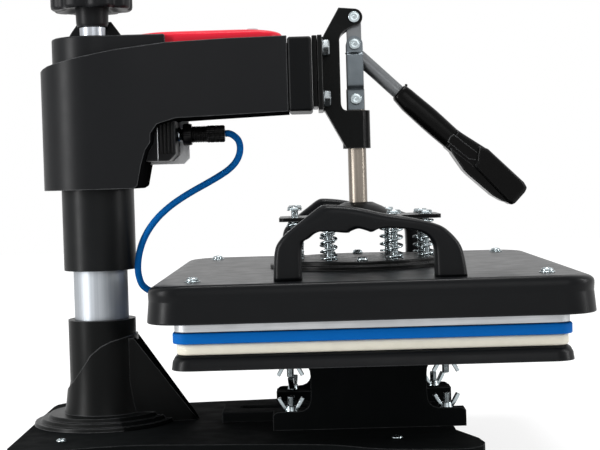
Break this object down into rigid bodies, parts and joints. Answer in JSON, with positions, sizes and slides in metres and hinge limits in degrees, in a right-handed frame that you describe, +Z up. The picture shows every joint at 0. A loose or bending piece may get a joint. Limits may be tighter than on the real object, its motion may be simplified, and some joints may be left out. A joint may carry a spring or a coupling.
{
  "type": "swing-away heat press",
  "caption": "Swing-away heat press: lever and toggle push a sprung heating head on a padded bed; arm turns on a post, a knob sets pressure.",
  "frame": {"origin": "middle of the machine's box, on the bench under the rubber feet", "axes": "+X from the post towards the lever, +Y away from the user, +Z up"},
  "size_m": [0.471, 0.4, 0.4357],
  "materials": {
    "powder_coat": "satin black powder coat",
    "casting": "semi-gloss black paint on a fine cast texture",
    "black_plastic": "satin moulded black plastic",
    "red_plastic": "glossy red plastic",
    "key_plastic": "light grey keys",
    "rubber": "matte black rubber",
    "foam": "cream silicone sponge",
    "silicone": "blue silicone sheet",
    "lead_jacket": "blue silicone jacket",
    "aluminium": "bare aluminium",
    "chrome": "bright plating",
    "nickel": "warm polished steel",
    "zinc": "bluish zinc plating",
    "spring_steel": "bright zinc-plated wire",
    "grey_paint": "grey satin paint"
  },
  "bodies": {
    "base": {"base_plate": "powder_coat", "foot_front_left": "rubber", "foot_front_right": "rubber", "foot_rear_left": "rubber", "foot_rear_right": "rubber", "post_socket": "casting", "post_tube": "chrome", "slotted_rail": "powder_coat", "pedestal": "powder_coat", "lower_platen": "powder_coat", "foam_pad": "foam", "silicone_pad": "silicone"},
    "swivel": {"swing_bush": "nickel"},
    "arm": {"arm_frame": "powder_coat", "arm_housing": "black_plastic", "arm_top_cover": "black_plastic", "control_panel": "red_plastic", "arm_end_cap": "black_plastic", "flange_plate": "casting", "lever_head": "casting", "control_box": "black_plastic", "box_plate": "aluminium", "platen_connector": "black_plastic", "platen_lead": "lead_jacket", "pivot_bolt_top": "zinc"},
    "knob": {"pressure_knob": "black_plastic", "pressure_screw": "chrome"},
    "lever": {"lever_arm": "grey_paint", "lever_grip": "black_plastic"},
    "shaft": {"press_shaft": "nickel", "spring_plate": "casting", "pivot_bolt_low": "zinc"},
    "links": {"link_front": "zinc", "link_rear": "zinc", "pivot_bolt_middle": "zinc"},
    "platen": {"platen_cover": "black_plastic", "heating_platen": "aluminium", "handle_front": "black_plastic", "handle_rear": "black_plastic", "mounting_disc": "casting", "spring_front_left_outer": "spring_steel", "spring_front_left_inner": "spring_steel", "spring_front_right_outer": "spring_steel", "spring_front_right_inner": "spring_steel", "spring_rear_left_outer": "spring_steel", "spring_rear_left_inner": "spring_steel", "spring_rear_right_outer": "spring_steel", "spring_rear_right_inner": "spring_steel"},
    "key_up": {"button_up": "key_plastic"},
    "key_down": {"button_down": "key_plastic"},
    "key_set": {"button_set": "key_plastic"},
    "rocker": {"power_switch": "red_plastic"},
    "nut_base_front_left": {"wing_nut_base_front_left": "zinc"},
    "nut_base_front_right": {"wing_nut_base_front_right": "zinc"},
    "nut_base_rear_left": {"wing_nut_base_rear_left": "zinc"},
    "nut_base_rear_right": {"wing_nut_base_rear_right": "zinc"},
    "nut_bed_front_left": {"wing_nut_bed_front_left": "zinc"},
    "nut_bed_front_right": {"wing_nut_bed_front_right": "zinc"},
    "nut_bed_rear_left": {"wing_nut_bed_rear_left": "zinc"},
    "nut_bed_rear_right": {"wing_nut_bed_rear_right": "zinc"}
  },
  "joints": [
    {"name": "arm_swing", "type": "hinge", "parent": "base", "child": "swivel", "pos_m": [-0.1725, 0, 0.25], "axis": [0, 0, 1], "continuous": true},
    {"name": "arm_height", "type": "slide", "parent": "swivel", "child": "arm", "axis": [0, 0, 1], "range_m": [0, 0.015]},
    {"name": "pressure_knob_turn", "type": "hinge", "parent": "arm", "child": "knob", "pos_m": [-0.1725, 0, 0.41], "axis": [0, 0, 1], "range_deg": [0, 1800]},
    {"name": "lever_lift", "type": "hinge", "parent": "arm", "child": "lever", "pos_m": [0.0595, 0, 0.3928], "axis": [0, -1, 0], "range_deg": [0, 90]},
    {"name": "press_stroke", "type": "slide", "parent": "arm", "child": "shaft", "axis": [0, 0, 1], "range_m": [0, 0.0293], "deforming": ["platen_lead"]},
    {"name": "toggle_tilt", "type": "hinge", "parent": "shaft", "child": "links", "pos_m": [0.0595, 0, 0.3212], "axis": [0, 1, 0], "range_deg": [0, 28.84]},
    {"name": "platen_float", "type": "slide", "parent": "shaft", "child": "platen", "axis": [0, 0, 1], "range_m": [0, 0.005], "stiffness_N_per_m": 40000, "springref_m": -0.003, "deforming": ["spring_front_left_outer", "spring_front_left_inner", "spring_front_right_outer", "spring_front_right_inner", "spring_rear_left_outer", "spring_rear_left_inner", "spring_rear_right_outer", "spring_rear_right_inner"]},
    {"name": "rocker_tilt", "type": "hinge", "parent": "arm", "child": "rocker", "pos_m": [-0.105, 0.0358, 0.2941], "axis": [1, 0, 0], "range_deg": [0, 20]},
    {"name": "key_up_press", "type": "slide", "parent": "arm", "child": "key_up", "axis": [0, 0, -1], "range_m": [0, 0.0012], "stiffness_N_per_m": 400, "springref_m": -0.0005},
    {"name": "key_down_press", "type": "slide", "parent": "arm", "child": "key_down", "axis": [0, 0, -1], "range_m": [0, 0.0012], "stiffness_N_per_m": 400, "springref_m": -0.0005},
    {"name": "key_set_press", "type": "slide", "parent": "arm", "child": "key_set", "axis": [0, 0, -1], "range_m": [0, 0.0012], "stiffness_N_per_m": 400, "springref_m": -0.0005},
    {"name": "nut_base_front_left_turn", "type": "hinge", "parent": "base", "child": "nut_base_front_left", "pos_m": [-0.0045, -0.064, 0.056], "axis": [0, 0, 1], "range_deg": [0, 360]},
    {"name": "nut_base_front_right_turn", "type": "hinge", "parent": "base", "child": "nut_base_front_right", "pos_m": [0.1275, -0.064, 0.056], "axis": [0, 0, 1], "range_deg": [0, 360]},
    {"name": "nut_base_rear_left_turn", "type": "hinge", "parent": "base", "child": "nut_base_rear_left", "pos_m": [-0.0045, 0.068, 0.056], "axis": [0, 0, 1], "range_deg": [0, 360]},
    {"name": "nut_base_rear_right_turn", "type": "hinge", "parent": "base", "child": "nut_base_rear_right", "pos_m": [0.1275, 0.068, 0.056], "axis": [0, 0, 1], "range_deg": [0, 360]},
    {"name": "nut_bed_front_left_turn", "type": "hinge", "parent": "base", "child": "nut_bed_front_left", "pos_m": [-0.0045, -0.064, 0.095], "axis": [0, 0, -1], "range_deg": [0, 360]},
    {"name": "nut_bed_front_right_turn", "type": "hinge", "parent": "base", "child": "nut_bed_front_right", "pos_m": [0.1275, -0.064, 0.095], "axis": [0, 0, -1], "range_deg": [0, 360]},
    {"name": "nut_bed_rear_left_turn", "type": "hinge", "parent": "base", "child": "nut_bed_rear_left", "pos_m": [-0.0045, 0.068, 0.095], "axis": [0, 0, -1], "range_deg": [0, 360]},
    {"name": "nut_bed_rear_right_turn", "type": "hinge", "parent": "base", "child": "nut_bed_rear_right", "pos_m": [0.1275, 0.068, 0.095], "axis": [0, 0, -1], "range_deg": [0, 360]}
  ],
  "couplings": [
    {"joint": "pressure_knob_turn", "follows": "arm_height", "rad_per_m": 2094.4},
    {"joint": "press_stroke", "follows": "lever_lift", "m_per_rad": 0.01865},
    {"joint": "toggle_tilt", "follows": "lever_lift", "ratio": 0.3204}
  ]
}
